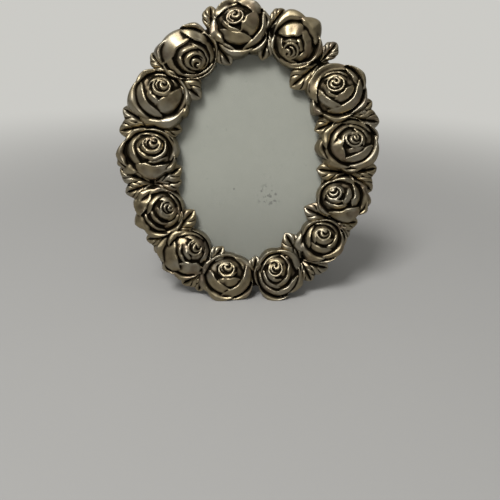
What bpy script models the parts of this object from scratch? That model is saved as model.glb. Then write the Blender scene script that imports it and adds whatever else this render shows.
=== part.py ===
"""Oval pewter photo frame: a cast wreath of roses round a glazed oval, with an easel back.

Everything is modelled in the plane of the frame, which then leans back on its strut.
In that plane x runs to the right, z runs up, and y runs from the front to the back,
with y = 0 at the flat back of the casting. "Height" is how far a point stands in front
of that back, so it is measured along minus y.
"""

from math import atan2, cos, degrees, pi, radians, sin, sqrt

import bmesh
import bpy
from mathutils import Matrix, Vector

MM = 0.001

# Photo that the frame holds, and how the oval is built up round it
PHOTO_WIDTH = 63.5 * MM
PHOTO_HEIGHT = 88.9 * MM
PHOTO_COVERED = 2.6 * MM
ROSES_OUTSIDE_PHOTO_X = 8.75 * MM
ROSES_OUTSIDE_PHOTO_Z = 6.15 * MM
BAND_OUTSIDE_ROSES = 4.5 * MM

# Layers in the rabbet, front to back
GLASS_THICKNESS = 1.5 * MM
CARD_THICKNESS = 0.5 * MM
BOARD_THICKNESS = 1.5 * MM
RABBET_CLEARANCE = 0.6 * MM
TOUCH_GAP = 0.3 * MM

# Casting
SIGHT_LIP_THICKNESS = 1.4 * MM
BAND_EDGE_ROUND = 0.6 * MM
ROSE_SUNK_IN_BAND = 0.8 * MM
ROSE_RIM_RISE = 1.8 * MM
ROSE_CROWN_RISE = 3.2 * MM
ROSE_STAGGER = 0.5 * MM
ROSE_SIDE_DROP = 1.4 * MM
PETAL_GROOVE_DEPTH = 1.5 * MM
PETAL_DIP = 0.7 * MM
BUD_PIT_DEPTH = 0.5 * MM
LEAF_THICKNESS = 1.2 * MM
LEAF_RISE = 0.5 * MM
OUTER_LEAF_DROP = 1.6 * MM
INNER_LEAF_DROP = 0.2 * MM
LEAF_CREASE = 0.7 * MM
LEAF_SLENDERNESS = 0.44
LEAF_FULLNESS = 1.3
LEAF_UNDERSIDE = 0.9
LEAF_STATIONS = (0.05, 0.35, 0.55, 0.72, 0.87)

# Standing on a table
LEAN = radians(12)
STRUT_OPENING = radians(28)
FOOT_FLAT = 2.5 * MM

# Easel strut and its hinge
HINGE_ABOVE_CENTRE = 26 * MM
STRUT_TOP_WIDTH = 24 * MM
STRUT_FOOT_WIDTH = 40 * MM
STRUT_THICKNESS = 2.5 * MM
STRUT_HEEL = 4.5 * MM
PIN_RADIUS = 0.9 * MM
HINGE_SHEET = 0.8 * MM
HINGE_WIDTH = 10.8 * MM
CENTRE_KNUCKLE_WIDTH = 3.8 * MM
HINGE_LEAF_LENGTH = 12 * MM
KNUCKLE_PROUD = 0.15 * MM
RIVET_RADIUS = 0.9 * MM
RIVET_HEAD_RADIUS = 1.9 * MM
RIVET_HEAD_HEIGHT = 0.7 * MM
RIVET_SPREAD = 5.4 * MM
RIVET_FROM_AXIS = 8.5 * MM
PIN_END_SHARE = 0.6

# Turn buttons that keep the board in, and their screws
BUTTON_ANGLES = (30, 150, 210, 330)
BUTTON_PIVOT_OUTSIDE = 4.0 * MM
BUTTON_REACH = 8.5 * MM
BUTTON_TAIL = 3.2 * MM
BUTTON_HALF_WIDTH = 2.6 * MM
BUTTON_THICKNESS = 1.0 * MM
SCREW_RADIUS = 0.8 * MM
SCREW_HEAD_RADIUS = 2.2 * MM
SCREW_HEAD_HEIGHT = 1.1 * MM
SCREW_DEPTH = 3.6 * MM
SCREW_TIP_SHARE = 0.5

# Domed heads: shares of the head's radius and height at the shoulder and at the flat top
RIVET_DOME = ((0.85, 0.6), (0.4, 1.0))
SCREW_DOME = ((0.8, 0.7), (0.4, 1.0))

# Fineness of the facets
OVAL_POINTS = 60
ROSE_POINTS = 20
ROUND_POINTS = 12

# Thirteen roses, clockwise from the top: place round the oval in degrees, half width, half height,
# then how far the bud looks to the right and up from the middle of the rose, in millimetres
ROSES = (
    (96, 11.3, 9.9, -2.6, 4.0),
    (64, 9.9, 10.1, -3.5, -6.0),
    (32, 11.5, 10.7, -1.9, 3.8),
    (7, 11.9, 10.6, 1.6, 3.4),
    (-18, 10.5, 9.0, -6.0, 4.0),
    (-41, 9.9, 9.2, 0.3, 5.0),
    (-72, 10.0, 11.2, -1.9, 5.0),
    (-103, 11.5, 10.2, -0.2, 6.5),
    (-130, 10.4, 10.6, 5.2, 4.2),
    (-155, 9.9, 10.1, 5.0, 2.8),
    (-182, 11.8, 10.3, 2.3, 5.4),
    (-208, 11.5, 10.8, 2.3, 5.8),
    (-233, 11.6, 9.9, 5.1, -4.7),
)

# Rings of petals in a rose, outermost first: reach as a share of the rose, petals in the ring
WHORLS = ((0.93, 5), (0.68, 5), (0.44, 5), (0.22, 2))
WHORL_GROOVE_SHARE = 0.10
PETAL_OVERLAP = 0.14
PETAL_SEAM_INSET = 0.05
ROSE_TURN = radians(44)

# Leaves: the gap that they grow from (1 lies after the first rose), turn from straight outwards in
# degrees, anticlockwise, and reach in millimetres from the middle of the oval's band
OUTER_LEAVES = (
    (13, -23, 10.9), (1, -27, 9.5), (2, 7, 10.2), (3, 16, 12.7), (3, -22, 14.4),
    (4, 13, 12.5), (4, -31, 13.2), (5, 21, 10.8), (5, -22, 10.2), (6, 34, 12.5),
    (6, -12, 10.6), (8, -22, 13.0), (8, 14, 11.5), (9, -18, 11.4), (9, 17, 11.2),
    (10, -34, 14.4), (10, 11, 12.0), (11, -17, 13.1), (11, 23, 13.6), (12, -10, 11.0),
)
INNER_LEAVES = (
    (13, -172, 12.9), (1, 180, 11.8), (2, 178, 14.7), (3, -173, 13.2), (4, 179, 13.0),
    (5, 180, 13.6), (6, 171, 13.9), (6, -160, 11.0), (7, 169, 10.5), (8, 173, 11.7),
    (9, -165, 13.9), (10, -160, 14.0), (10, 175, 12.2), (11, -176, 12.2), (12, -162, 12.2),
    (12, 176, 14.6),
)

# Sizes worked out from those above
PHOTO_OVAL = (PHOTO_WIDTH / 2, PHOTO_HEIGHT / 2)
ROSE_OVAL = (PHOTO_OVAL[0] + ROSES_OUTSIDE_PHOTO_X, PHOTO_OVAL[1] + ROSES_OUTSIDE_PHOTO_Z)
SIGHT_OVAL = tuple(half - PHOTO_COVERED for half in PHOTO_OVAL)
RABBET_OVAL = tuple(half + RABBET_CLEARANCE for half in PHOTO_OVAL)
LAYER_OVAL = tuple(half - TOUCH_GAP for half in RABBET_OVAL)
BAND_OVAL = tuple(half + BAND_OUTSIDE_ROSES for half in ROSE_OVAL)
LOWEST_ROSE = min(ROSE_OVAL[1] * sin(radians(rose[0])) - rose[2] * MM for rose in ROSES)
FRAME_FOOT = LOWEST_ROSE + FOOT_FLAT


BOARD_FRONT = BOARD_THICKNESS
CARD_BACK = BOARD_FRONT + TOUCH_GAP
CARD_FRONT = CARD_BACK + CARD_THICKNESS
GLASS_BACK = CARD_FRONT + TOUCH_GAP
GLASS_FRONT = GLASS_BACK + GLASS_THICKNESS
RABBET_DEPTH = GLASS_FRONT + TOUCH_GAP
BAND_HEIGHT = RABBET_DEPTH + SIGHT_LIP_THICKNESS
ROSE_BACK_HEIGHT = BAND_HEIGHT - ROSE_SUNK_IN_BAND
ROSE_RIM_HEIGHT = BAND_HEIGHT + ROSE_RIM_RISE
LEAF_ROOT_HEIGHT = BAND_HEIGHT + LEAF_RISE

KNUCKLE_BORE = PIN_RADIUS + TOUCH_GAP
KNUCKLE_RADIUS = KNUCKLE_BORE + HINGE_SHEET
AXIS_BEHIND_BOARD = TOUCH_GAP + KNUCKLE_RADIUS
END_KNUCKLE_WIDTH = (HINGE_WIDTH - CENTRE_KNUCKLE_WIDTH) / 2 - TOUCH_GAP
STRUT_LEAF_FRONT = KNUCKLE_RADIUS - HINGE_SHEET
STRUT_BACK = STRUT_LEAF_FRONT - TOUCH_GAP
STRUT_FRONT = STRUT_BACK - STRUT_THICKNESS
RIVET_HOLE = RIVET_RADIUS + TOUCH_GAP

BUTTON_FRONT = TOUCH_GAP
BUTTON_BACK = BUTTON_FRONT + BUTTON_THICKNESS
SCREW_HOLE = SCREW_RADIUS + TOUCH_GAP


def clear_scene():
    for item in list(bpy.data.objects):
        bpy.data.objects.remove(item, do_unlink=True)


def material(name, colour, metallic, roughness):
    made = bpy.data.materials.new(name)
    made.use_nodes = True
    shader = made.node_tree.nodes["Principled BSDF"]
    shader.inputs["Base Color"].default_value = (*colour, 1)
    shader.inputs["Metallic"].default_value = metallic
    shader.inputs["Roughness"].default_value = roughness
    made.diffuse_color = (*colour, 1)
    return made


def empty(name, parent=None, location=(0, 0, 0), rotation=(0, 0, 0)):
    made = bpy.data.objects.new(name, None)
    bpy.context.collection.objects.link(made)
    made.parent = parent
    made.location = location
    made.rotation_euler = rotation
    return made


def piece(name, bm, finish=None, parent=None, location=(0, 0, 0), rotation=(0, 0, 0)):
    """One object from a finished bmesh, in flat triangles turned outwards."""
    bmesh.ops.recalc_face_normals(bm, faces=bm.faces)
    bmesh.ops.triangulate(bm, faces=bm.faces)
    mesh = bpy.data.meshes.new(name)
    bm.to_mesh(mesh)
    bm.free()
    mesh.shade_smooth()
    mesh.set_sharp_from_angle(angle=radians(35))
    made = bpy.data.objects.new(name, mesh)
    bpy.context.collection.objects.link(made)
    made.parent = parent
    made.location = location
    made.rotation_euler = rotation
    if finish:
        mesh.materials.append(finish)
    return made


def guide(name, bm, parent=None, location=(0, 0, 0), rotation=(0, 0, 0)):
    """A cutter, or a shape that is fused into another piece."""
    made = piece(name, bm, None, parent, location, rotation)
    made.hide_render = True
    made.display_type = "WIRE"
    return made


def boolean(target, tool, operation):
    step = target.modifiers.new(f"{operation.title()} {tool.name}", "BOOLEAN")
    step.solver = "EXACT"
    step.operation = operation
    step.object = tool


def skin(bm, loops, ring=False):
    """Faces between neighbouring loops of points; a ring also joins the last loop to the first."""
    rows = [[bm.verts.new(point) for point in loop] for loop in loops]
    pairs = list(zip(rows, rows[1:]))
    if ring:
        pairs.append((rows[-1], rows[0]))
    for lower, upper in pairs:
        count = len(lower)
        for i in range(count):
            j = (i + 1) % count
            bm.faces.new((lower[i], lower[j], upper[j], upper[i]))
    return rows


def capped(loops):
    """A closed solid skinned over its loops, with a flat face at each end."""
    bm = bmesh.new()
    rows = skin(bm, loops)
    bm.faces.new(reversed(rows[0]))
    bm.faces.new(rows[-1])
    return bm


def pointed(loops, tip):
    """A closed solid skinned over its loops, flat at the first and drawn to a point past the last."""
    bm = bmesh.new()
    rows = skin(bm, loops)
    bm.faces.new(reversed(rows[0]))
    point = bm.verts.new(tip)
    last = rows[-1]
    for i, vert in enumerate(last):
        bm.faces.new((vert, last[(i + 1) % len(last)], point))
    return bm


def oval(half, height, points=OVAL_POINTS):
    """Points of an upright oval with these half sizes, at a height in front of the back."""
    turns = (2 * pi * i / points for i in range(points))
    return [Vector((half[0] * cos(turn), -height, half[1] * sin(turn))) for turn in turns]


def circle(radius, depth, points=ROUND_POINTS):
    """A circle round the y axis, at a depth along it."""
    return oval((radius, radius), -depth, points)


def turned(profile):
    """A solid of revolution round the y axis, from (radius, depth) pairs."""
    return capped([circle(radius, depth) for radius, depth in profile])


def oval_plate(half, back, front):
    return capped([oval(half, back), oval(half, front)])


def box(low, high):
    bm = bmesh.new()
    bmesh.ops.create_cube(bm, size=1)
    size = Vector(high) - Vector(low)
    middle = (Vector(high) + Vector(low)) / 2
    bmesh.ops.transform(bm, verts=bm.verts, matrix=Matrix.Translation(middle) @ Matrix.Diagonal((*size, 1)))
    return bm


def on_rose_oval(angle):
    return Vector((ROSE_OVAL[0] * cos(angle), 0, ROSE_OVAL[1] * sin(angle)))


def outwards(angle, half):
    """Direction square to an oval's edge, as an angle in its plane."""
    return atan2(half[0] * sin(angle), half[1] * cos(angle))


def band():
    """The oval ring that carries the roses: flat behind, stepped inside for the glass and board."""
    inner = tuple(half + BAND_EDGE_ROUND for half in SIGHT_OVAL)
    outer = tuple(half - 2 * BAND_EDGE_ROUND for half in BAND_OVAL)
    bm = bmesh.new()
    loops = (
        oval(RABBET_OVAL, 0),
        oval(RABBET_OVAL, RABBET_DEPTH),
        oval(SIGHT_OVAL, RABBET_DEPTH),
        oval(SIGHT_OVAL, BAND_HEIGHT - BAND_EDGE_ROUND),
        oval(inner, BAND_HEIGHT),
        oval(outer, BAND_HEIGHT),
        oval(BAND_OVAL, BAND_HEIGHT - 2 * BAND_EDGE_ROUND),
        oval(BAND_OVAL, 0),
    )
    skin(bm, loops, ring=True)
    return bm


def petal_ring(rose, share, petals, height, turn, start, dip):
    """One lip of a ring of petals: each petal swells outwards and tucks under the next."""
    place, half_width, half_height, bud_x, bud_z = rose
    middle = on_rose_oval(radians(place))
    middle += Vector((bud_x, 0, bud_z)) * MM * (1 - share)
    between_rings = 4 * share * (1 - share)
    loop = []
    for i in range(ROSE_POINTS):
        angle = 2 * pi * i / ROSE_POINTS + turn
        along = (i * petals / ROSE_POINTS + start) % 1
        near_seam = abs(2 * along - 1) ** 3
        swell = 1 + PETAL_OVERLAP * (along - 0.5) * between_rings - PETAL_SEAM_INSET * near_seam
        reach = share * swell * MM
        depth = dip * near_seam - height
        loop.append(middle + Vector((half_width * reach * cos(angle), depth, half_height * reach * sin(angle))))
    return loop


def rose_solid(rose, number):
    """A rose skinned from its side wall, over ring after ring of petals, into the bud."""
    first_share, first_petals = WHORLS[0]
    turn = number * ROSE_TURN
    rim = ROSE_RIM_HEIGHT + ROSE_STAGGER * (number % 2)
    loops = [
        petal_ring(rose, first_share, first_petals, ROSE_BACK_HEIGHT, turn, 0, 0),
        petal_ring(rose, 1, first_petals, rim - ROSE_SIDE_DROP, turn, 0, 0),
    ]
    for ring, (share, petals) in enumerate(WHORLS):
        lip = rim + ROSE_CROWN_RISE * sqrt(1 - share ** 2)
        start = ring / 2
        loops.append(petal_ring(rose, share, petals, lip, turn, start, PETAL_DIP))
        inside = share - WHORL_GROOVE_SHARE
        loops.append(petal_ring(rose, inside, petals, lip - PETAL_GROOVE_DEPTH, turn, start, 0))
    bud = sum(loops[-1], Vector()) / ROSE_POINTS
    return pointed(loops, bud + Vector((0, BUD_PIT_DEPTH, 0)))


def leaf_solid(gap, turn, reach, tip_drop):
    """A pointed leaf from the middle of the band, creased along its rib and dipping at the tip."""
    before = radians(ROSES[gap - 1][0])
    after = radians(ROSES[gap % len(ROSES)][0])
    if after > before:
        after -= 2 * pi
    angle = (before + after) / 2
    root = on_rose_oval(angle)
    heading = outwards(angle, ROSE_OVAL) + radians(turn)
    forward = Vector((cos(heading), 0, sin(heading)))
    sideways = Vector((-sin(heading), 0, cos(heading)))
    length = reach * MM
    half_width = LEAF_SLENDERNESS * length / 2
    loops = []
    for along in LEAF_STATIONS:
        spread = half_width * sin(pi * along ** LEAF_FULLNESS)
        under = spread * LEAF_UNDERSIDE
        height = LEAF_ROOT_HEIGHT - tip_drop * along ** 2
        spine = root + forward * length * along
        loops.append((
            spine + Vector((0, LEAF_CREASE - height, 0)),
            spine + sideways * spread - Vector((0, height, 0)),
            spine + sideways * under + Vector((0, LEAF_THICKNESS - height, 0)),
            spine - sideways * under + Vector((0, LEAF_THICKNESS - height, 0)),
            spine - sideways * spread - Vector((0, height, 0)),
        ))
    tip_height = LEAF_ROOT_HEIGHT - tip_drop - LEAF_THICKNESS / 2
    return pointed(loops, root + forward * length - Vector((0, tip_height, 0)))


def button_pivot(angle_degrees):
    """Where a turn button pivots, and the way it points when it holds the board."""
    angle = radians(angle_degrees)
    heading = outwards(angle, RABBET_OVAL)
    edge = Vector((RABBET_OVAL[0] * cos(angle), 0, RABBET_OVAL[1] * sin(angle)))
    return edge + BUTTON_PIVOT_OUTSIDE * Vector((cos(heading), 0, sin(heading))), heading + pi


def cylinder(radius, front, back):
    """A rod round the y axis, from one depth to another."""
    return turned(((radius, front), (radius, back)))


def lying(bm):
    """Turns a shape made round the y axis to lie along x."""
    bmesh.ops.rotate(bm, verts=bm.verts, matrix=Matrix.Rotation(-pi / 2, 3, "Z"))
    return bm


def without_pockets(mesh):
    """Keeps the outer surface and fills any pocket that the fused shapes have closed off inside."""
    bm = bmesh.new()
    bm.from_mesh(mesh)
    waiting = set(bm.faces)
    surfaces = []
    while waiting:
        to_visit = [waiting.pop()]
        surface = list(to_visit)
        while to_visit:
            face = to_visit.pop()
            near = {other for edge in face.edges for other in edge.link_faces} & waiting
            waiting -= near
            surface.extend(near)
            to_visit.extend(near)
        surfaces.append(surface)
    surfaces.sort(key=len)
    inner = [face for surface in surfaces[:-1] for face in surface]
    bmesh.ops.delete(bm, geom=inner, context="FACES")
    bm.to_mesh(mesh)
    bm.free()


def fused(target, tools):
    """Fuses shapes into a piece for good, and clears them away."""
    gathered = bpy.data.collections.new(f"{target.name} shapes")
    for tool in tools:
        gathered.objects.link(tool)
    step = target.modifiers.new("Fuse", "BOOLEAN")
    step.solver = "EXACT"
    step.operation = "UNION"
    step.operand_type = "COLLECTION"
    step.collection = gathered
    depsgraph = bpy.context.evaluated_depsgraph_get()
    whole = bpy.data.meshes.new_from_object(target.evaluated_get(depsgraph))
    without_pockets(whole)
    target.modifiers.clear()
    target.data = whole
    for tool in tools:
        bpy.data.objects.remove(tool, do_unlink=True)
    bpy.data.collections.remove(gathered)


def make_casting(plane, table, pewter):
    casting = piece("rose_wreath_casting", band(), pewter, plane)
    shapes = []
    for number, rose in enumerate(ROSES):
        shapes.append(guide(f"rose {number}", rose_solid(rose, number), plane))
    for leaves, drop in ((OUTER_LEAVES, OUTER_LEAF_DROP), (INNER_LEAVES, INNER_LEAF_DROP)):
        for leaf in leaves:
            shapes.append(guide("leaf", leaf_solid(*leaf, drop), plane))
    fused(casting, shapes)
    for number, angle in enumerate(BUTTON_ANGLES, 1):
        pivot, _ = button_pivot(angle)
        hole = cylinder(SCREW_HOLE, -SCREW_DEPTH - TOUCH_GAP, SCREW_DEPTH)
        boolean(casting, guide(f"screw hole cutter {number}", hole, plane, pivot), "DIFFERENCE")
    boolean(casting, table, "DIFFERENCE")
    return casting


def drill_rivet_holes(target, pivot, side):
    """A pair of holes above (side 1) or below (side -1) the hinge's axis."""
    for hand in (-1, 1):
        place = (hand * RIVET_SPREAD / 2, 0, side * RIVET_FROM_AXIS)
        hole = cylinder(RIVET_HOLE, -RIVET_FROM_AXIS, RIVET_FROM_AXIS)
        boolean(target, guide(f"{target.name} rivet hole cutter {hand}", hole, pivot, place), "DIFFERENCE")


def make_layers(plane, hinge, glass, card, velvet):
    piece("glass_pane", oval_plate(LAYER_OVAL, GLASS_BACK, GLASS_FRONT), glass, plane)
    piece("photo_card", oval_plate(LAYER_OVAL, CARD_BACK, CARD_FRONT), card, plane)
    board = piece("backing_board", oval_plate(LAYER_OVAL, 0, BOARD_FRONT), velvet, plane)
    drill_rivet_holes(board, hinge, 1)


def tabbed_sheet(sheet_front, side, spans):
    """A flat sheet above (side 1) or below (side -1) the pin, with a tab to each of its knuckles."""
    half = HINGE_WIDTH / 2 - KNUCKLE_PROUD
    clear_of_pin = side * (KNUCKLE_RADIUS + TOUCH_GAP)
    tab_end = side * KNUCKLE_RADIUS / 2
    edge = []
    for left, right in spans:
        start = left + KNUCKLE_PROUD
        end = right - KNUCKLE_PROUD
        edge += [(start, clear_of_pin), (start, tab_end), (end, tab_end), (end, clear_of_pin)]
    inside = [(x, z) for x, z in edge if abs(x) < half or z == tab_end]
    far = side * HINGE_LEAF_LENGTH
    corners = [(-half, far)]
    if inside[0][0] > -half:
        corners.append((-half, clear_of_pin))
    corners += inside
    if inside[-1][0] < half:
        corners.append((half, clear_of_pin))
    corners.append((half, far))
    depths = (sheet_front, sheet_front + HINGE_SHEET)
    return capped([[Vector((x, depth, z)) for x, z in corners] for depth in depths])


def hinge_leaf(name, metal, pivot, sheet_front, side, spans):
    """A sheet on one side of the axis with its knuckles rolled round the pin."""
    leaf = piece(name, tabbed_sheet(sheet_front, side, spans), metal, pivot)
    knuckles = []
    for number, (left, right) in enumerate(spans):
        half = (right - left) / 2
        rod = lying(cylinder(KNUCKLE_RADIUS, -half, half))
        knuckles.append(guide(f"{name} knuckle {number}", rod, pivot, ((left + right) / 2, 0, 0)))
    fused(leaf, knuckles)
    bore = lying(cylinder(KNUCKLE_BORE, -HINGE_WIDTH, HINGE_WIDTH))
    boolean(leaf, guide(f"{name} bore cutter", bore, pivot), "DIFFERENCE")
    drill_rivet_holes(leaf, pivot, side)


def domed_head(radius, height, seat, dome):
    """Profile of a head from its flat underside, over the shoulder, to the top."""
    return ((radius, seat), *((radius * out, seat + height * up) for out, up in dome))


def rivet(name, metal, pivot, place, sheet_back, tail_front):
    """A domed head over the sheet and a shank through it into the board."""
    seat = sheet_back + TOUCH_GAP
    shank = ((RIVET_RADIUS, tail_front), (RIVET_RADIUS, seat))
    head = domed_head(RIVET_HEAD_RADIUS, RIVET_HEAD_HEIGHT, seat, RIVET_DOME)
    return piece(name, turned(shank + head), metal, pivot, place)


def make_hinge(hinge, strut_pivot, steel):
    half = HINGE_WIDTH / 2
    ends = ((-half, -half + END_KNUCKLE_WIDTH), (half - END_KNUCKLE_WIDTH, half))
    centre = ((-CENTRE_KNUCKLE_WIDTH / 2, CENTRE_KNUCKLE_WIDTH / 2),)
    hinge_leaf("board_hinge_leaf", steel, hinge, -KNUCKLE_RADIUS, 1, ends)
    hinge_leaf("strut_hinge_leaf", steel, strut_pivot, STRUT_LEAF_FRONT, -1, centre)
    over = half + HINGE_SHEET
    bevel = PIN_RADIUS * PIN_END_SHARE
    pin_profile = ((bevel, -over), (PIN_RADIUS, -half), (PIN_RADIUS, half), (bevel, over))
    piece("hinge_pin", lying(turned(pin_profile)), steel, hinge)
    for side, word in ((-1, "left"), (1, "right")):
        across = side * RIVET_SPREAD / 2
        board_back = -AXIS_BEHIND_BOARD
        rivet(
            f"board_rivet_{word}", steel, hinge, (across, 0, RIVET_FROM_AXIS),
            HINGE_SHEET - KNUCKLE_RADIUS, board_back - BOARD_THICKNESS,
        )
        rivet(
            f"strut_rivet_{word}", steel, strut_pivot, (across, 0, -RIVET_FROM_AXIS),
            STRUT_LEAF_FRONT + HINGE_SHEET, STRUT_FRONT + TOUCH_GAP,
        )


def make_strut(strut_pivot, table, velvet):
    """A tapering leg, notched for the hinge, whose two heels bear on the board when it is open."""
    centre_height = -FRAME_FOOT * cos(LEAN)
    axis_height = centre_height + HINGE_ABOVE_CENTRE * cos(LEAN) - AXIS_BEHIND_BOARD * sin(LEAN)
    length = axis_height / cos(STRUT_OPENING - LEAN) + STRUT_THICKNESS
    notch = HINGE_WIDTH / 2 + HINGE_SHEET + TOUCH_GAP
    notch_foot = -KNUCKLE_RADIUS - TOUCH_GAP
    half_top = STRUT_TOP_WIDTH / 2
    half_foot = STRUT_FOOT_WIDTH / 2
    outline = (
        (-half_foot, -length), (half_foot, -length), (half_top, STRUT_HEEL), (notch, STRUT_HEEL),
        (notch, notch_foot), (-notch, notch_foot), (-notch, STRUT_HEEL), (-half_top, STRUT_HEEL),
    )
    loops = [[Vector((x, y, z)) for x, z in outline] for y in (STRUT_FRONT, STRUT_BACK)]
    strut = piece("easel_strut", capped(loops), velvet, strut_pivot)
    reach = 2 * STRUT_TOP_WIDTH
    low = (-reach, -reach, -reach)
    high = (reach, TOUCH_GAP - AXIS_BEHIND_BOARD, reach)
    heel = guide("heel cutter", box(low, high), strut_pivot, rotation=(-STRUT_OPENING, 0, 0))
    boolean(strut, heel, "DIFFERENCE")
    boolean(strut, table, "DIFFERENCE")
    drill_rivet_holes(strut, strut_pivot, -1)


def make_button(number, angle, plane, steel, brass):
    """A flat clip with a round tail that swings on its screw over the edge of the board."""
    pivot, heading = button_pivot(angle)
    swing = empty(f"turn button pivot {number}", plane, pivot, (0, -heading, 0))
    straight = BUTTON_REACH - BUTTON_HALF_WIDTH
    tail = BUTTON_TAIL - BUTTON_HALF_WIDTH
    outline = []
    bore = []
    for i in range(ROUND_POINTS):
        turn = 2 * pi * (i + 0.5) / ROUND_POINTS
        shift = straight if cos(turn) > 0 else -tail
        outline.append((shift + BUTTON_HALF_WIDTH * cos(turn), BUTTON_HALF_WIDTH * sin(turn)))
        bore.append((SCREW_HOLE * cos(turn), SCREW_HOLE * sin(turn)))
    bm = bmesh.new()
    loops = [
        [Vector((x, depth, z)) for x, z in points]
        for points, depth in (
            (outline, BUTTON_FRONT), (outline, BUTTON_BACK), (bore, BUTTON_BACK), (bore, BUTTON_FRONT)
        )
    ]
    skin(bm, loops, ring=True)
    piece(f"turn_button_{number}", bm, brass, swing)
    seat = BUTTON_BACK + TOUCH_GAP
    shank = (
        (SCREW_RADIUS * SCREW_TIP_SHARE, -SCREW_DEPTH),
        (SCREW_RADIUS, SCREW_RADIUS - SCREW_DEPTH),
        (SCREW_RADIUS, seat),
    )
    head = domed_head(SCREW_HEAD_RADIUS, SCREW_HEAD_HEIGHT, seat, SCREW_DOME)
    piece(f"turn_button_screw_{number}", turned(shank + head), steel, plane, pivot)


def settle(stand):
    """Moves the whole frame so that the middle of its base is the origin."""
    bpy.context.view_layer.update()
    depsgraph = bpy.context.evaluated_depsgraph_get()
    corners = []
    for item in bpy.data.objects:
        if item.type == "MESH" and not item.hide_render:
            shown = item.evaluated_get(depsgraph)
            corners.extend(item.matrix_world @ vert.co for vert in shown.data.vertices)
    for axis in (0, 1):
        values = [corner[axis] for corner in corners]
        stand.location[axis] -= (min(values) + max(values)) / 2
    stand.location.z -= min(corner.z for corner in corners)
    bpy.context.view_layer.update()


def main():
    clear_scene()
    pewter = material("antique pewter", (0.42, 0.40, 0.33), 1, 0.38)
    glass = material("clear glass", (0.9, 0.93, 0.92), 0, 0.05)
    card = material("grey card", (0.62, 0.64, 0.62), 0, 0.8)
    velvet = material("black velvet", (0.03, 0.03, 0.035), 0, 0.95)
    steel = material("plated steel", (0.6, 0.6, 0.58), 1, 0.35)
    brass = material("brass", (0.66, 0.5, 0.24), 1, 0.35)

    stand = empty("stand")
    plane = empty("leaning plane", stand, (0, 0, -FRAME_FOOT * cos(LEAN)), (-LEAN, 0, 0))
    hinge = empty("hinge axis", plane, (0, AXIS_BEHIND_BOARD, HINGE_ABOVE_CENTRE))
    strut_pivot = empty("strut pivot", hinge, rotation=(STRUT_OPENING, 0, 0))
    room = 2 * PHOTO_HEIGHT
    table = guide("table cutter", box((-room, -room, -room), (room, room, 0)), stand)

    make_casting(plane, table, pewter)
    make_layers(plane, hinge, glass, card, velvet)
    make_hinge(hinge, strut_pivot, steel)
    make_strut(strut_pivot, table, velvet)
    for number, angle in enumerate(BUTTON_ANGLES, 1):
        make_button(number, angle, plane, steel, brass)
    settle(stand)
    for item in (stand, plane, hinge):
        place = item.matrix_world.translation
        print(f"{item.name} at x {place.x:.5f}, y {place.y:.5f}, z {place.z:.5f}")
    print(f"lean {degrees(LEAN):.1f} degrees, strut opening {degrees(STRUT_OPENING):.1f} degrees")


main()
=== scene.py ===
# %% [markdown]
# # An oval pewter photo frame wreathed in roses
# The frame is a casting of thirteen roses round an oval window. Behind the window lie the glass,
# a blank card and a velvet board, and a hinged strut props the whole thing up on a table.
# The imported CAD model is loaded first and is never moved. Every piece below is made to its places.

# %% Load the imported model
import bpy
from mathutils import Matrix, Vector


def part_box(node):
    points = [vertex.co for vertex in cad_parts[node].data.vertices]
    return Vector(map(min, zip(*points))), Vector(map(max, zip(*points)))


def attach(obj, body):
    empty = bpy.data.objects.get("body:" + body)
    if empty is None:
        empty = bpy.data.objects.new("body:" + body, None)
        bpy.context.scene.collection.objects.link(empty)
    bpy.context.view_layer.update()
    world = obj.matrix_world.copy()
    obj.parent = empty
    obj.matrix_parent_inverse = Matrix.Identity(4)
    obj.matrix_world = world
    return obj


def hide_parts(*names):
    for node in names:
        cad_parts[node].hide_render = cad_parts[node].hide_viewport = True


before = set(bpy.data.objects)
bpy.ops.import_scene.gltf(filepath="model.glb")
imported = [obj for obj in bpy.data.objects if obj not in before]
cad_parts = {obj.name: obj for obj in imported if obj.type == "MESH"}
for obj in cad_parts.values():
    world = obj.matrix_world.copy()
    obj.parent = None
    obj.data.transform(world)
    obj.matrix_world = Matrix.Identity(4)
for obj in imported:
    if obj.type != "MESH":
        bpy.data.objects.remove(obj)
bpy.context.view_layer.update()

# %% [markdown]
# Blender counts in metres and this frame is small, so sizes below are written in millimetres and
# multiplied by MM.

# %% Modules and unit
import math

import bpy
import numpy as np
from mathutils import Matrix, Vector

MM = 0.001

# %% [markdown]
# The wreath is easiest to shape flat, in its own plane: x to the right, z up along the frame and
# y from front to back, with y = 0 at the casting's flat back. The real frame leans back, so each
# finished piece is turned and moved into place at the end. The glass is an oval plate at a known
# depth in that plane, so the middle of its box tells where the plane stands.

# %% The leaning plane
LEAN = math.radians(12)
GLASS_MIDDLE = 3.35 * MM

low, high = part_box("glass_pane")
PLANE = (Matrix.Translation((low + high) / 2) @ Matrix.Rotation(-LEAN, 4, "X")
         @ Matrix.Translation((0, GLASS_MIDDLE, 0)))
print("leaning plane at", [round(c / MM, 2) for c in PLANE.translation], "mm")


def in_place(piece):
    """Moves a piece from the flat plane to where the frame leans; its object stays at the origin."""
    bpy.ops.object.select_all(action="DESELECT")
    piece.select_set(True)
    bpy.context.view_layer.objects.active = piece
    piece.matrix_world = PLANE @ piece.matrix_world
    bpy.ops.object.transform_apply(location=True, rotation=True, scale=True)


# %% [markdown]
# The camera stands about 20 cm in front of the frame, at the height of its top and a touch to the
# left, looking down at about 25 degrees. A short lens that close gives the perspective in which
# the lower roses look smaller.

# %% Camera
CAMERA_FROM_PLANE = Vector((-4.65, -210.0, 55.85)) * MM
CAMERA_DOWN = math.radians(24.92)
CAMERA_RIGHT = math.radians(1.51)
CAMERA_ROLL = math.radians(0.85)
LENS, SENSOR, NEAREST = 36.98, 36, 0.01

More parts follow.
